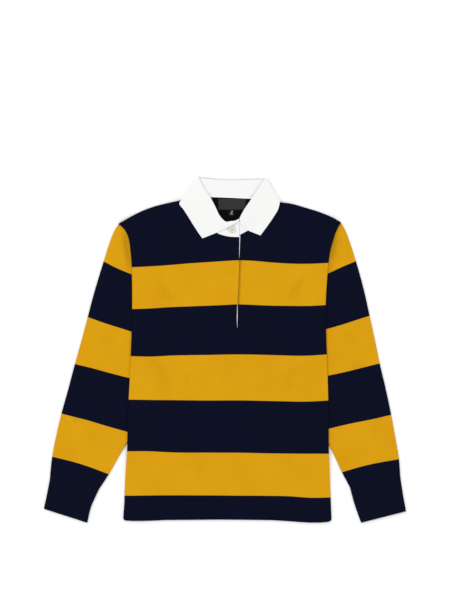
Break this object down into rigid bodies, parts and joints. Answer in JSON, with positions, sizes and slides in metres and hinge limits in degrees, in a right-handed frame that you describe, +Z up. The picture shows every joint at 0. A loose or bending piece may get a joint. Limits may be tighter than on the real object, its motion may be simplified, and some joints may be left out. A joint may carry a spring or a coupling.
{
  "type": "polo shirt",
  "caption": "Long-sleeved striped polo shirt laid flat, with a white twill collar, a half placket, a buttoned neck and rib cuffs.",
  "frame": {"origin": "centre of the shirt's box on the surface it lies on", "axes": "+Z up, off the surface, towards the front panel; +Y from the hem to the collar; +X to the viewer's right of the front"},
  "size_m": [0.7246, 0.6942, 0.0124],
  "materials": {
    "jersey": "heavy cotton jersey, navy and gold stripes",
    "rib": "navy rib knit",
    "collar_twill": "white cotton twill",
    "facing_tape": "white cotton tape",
    "button_rubber": "moulded, satin",
    "label_weave": "grey woven satin",
    "tab_weave": "black woven tape"
  },
  "bodies": {
    "root": {"front": "jersey", "back": "jersey", "sleeve_left": "jersey", "sleeve_right": "jersey", "cuff_left": "rib", "cuff_right": "rib", "collar_fall": "collar_twill", "collar_stand": "collar_twill", "placket_facing": "facing_tape", "button": "button_rubber", "label": "label_weave", "size_tab": "tab_weave"}
  },
  "joints": []
}
